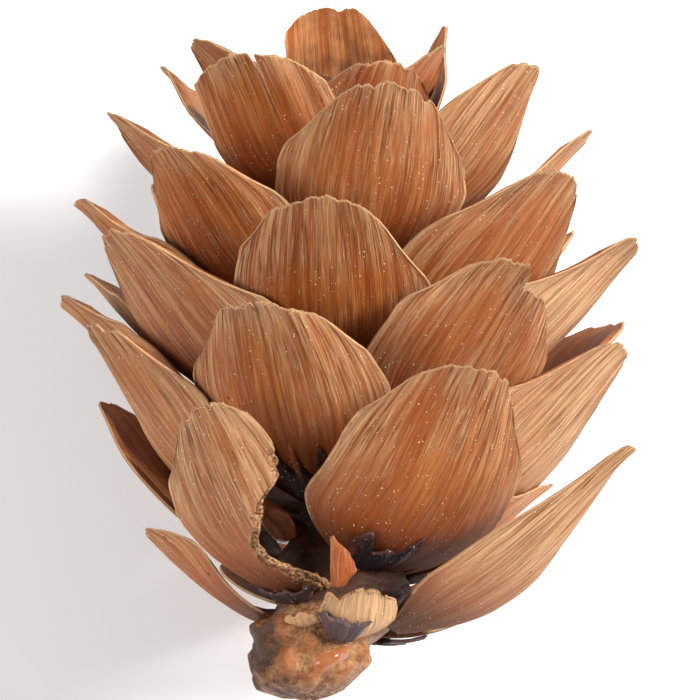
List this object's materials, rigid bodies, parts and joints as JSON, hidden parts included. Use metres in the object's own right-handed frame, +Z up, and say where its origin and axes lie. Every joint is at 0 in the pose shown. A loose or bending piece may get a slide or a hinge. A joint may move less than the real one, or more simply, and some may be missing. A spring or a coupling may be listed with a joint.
{
  "type": "larch cone",
  "caption": "Open, dry larch cone lying on its side: thin rounded woody scales in a spiral round a slim axis, with a broken stalk stub.",
  "frame": {"origin": "middle of the footprint of the cone's box, on the surface that it lies on", "axes": "+Z up; +Y along the cone's axis from the stalk to the tip; +X across it"},
  "size_m": [0.0292, 0.038, 0.0293],
  "materials": {
    "scale_wood": "dry chestnut scale wood with fine ridges fanning to a thin pale edge",
    "stump_wood": "pale torn wood of a broken basal scale",
    "bract_skin": "dark papery bract with fine hairs",
    "stalk_bark": "knobbly pinkish-brown stalk with a slight resin gloss",
    "seed_coat": "smooth dark orange seed coat"
  },
  "bodies": {
    "root": {"stalk_and_axis": "stalk_bark", "scale_00": "stump_wood", "scale_01": "scale_wood", "bract_01": "bract_skin", "scale_02": "scale_wood", "scale_03": "scale_wood", "scale_04": "scale_wood", "bract_04": "bract_skin", "scale_05": "scale_wood", "scale_06": "scale_wood", "bract_06": "bract_skin", "scale_07": "scale_wood", "bract_07": "bract_skin", "scale_08": "scale_wood", "bract_08": "bract_skin", "scale_09": "scale_wood", "bract_09": "bract_skin", "scale_10": "scale_wood", "bract_10": "bract_skin", "scale_11": "scale_wood", "bract_11": "bract_skin", "scale_12": "scale_wood", "bract_12": "bract_skin", "scale_13": "scale_wood", "bract_13": "bract_skin", "scale_14": "scale_wood", "bract_14": "bract_skin", "scale_15": "scale_wood", "bract_15": "bract_skin", "scale_16": "scale_wood", "bract_16": "bract_skin", "scale_17": "scale_wood", "bract_17": "bract_skin", "scale_18": "scale_wood", "scale_19": "scale_wood", "scale_20": "scale_wood", "scale_21": "scale_wood", "scale_22": "scale_wood", "scale_23": "scale_wood", "scale_24": "scale_wood", "scale_25": "scale_wood", "scale_26": "scale_wood", "scale_27": "scale_wood", "scale_28": "scale_wood", "scale_29": "scale_wood", "scale_30": "scale_wood", "scale_31": "scale_wood", "scale_32": "scale_wood", "scale_33": "scale_wood", "scale_34": "scale_wood", "scale_35": "scale_wood", "scale_36": "scale_wood", "scale_37": "scale_wood", "scale_38": "scale_wood", "scale_39": "scale_wood", "scale_40": "scale_wood", "scale_41": "scale_wood", "torn_sliver": "scale_wood", "seed": "seed_coat", "basal_chip": "stump_wood"}
  },
  "joints": []
}
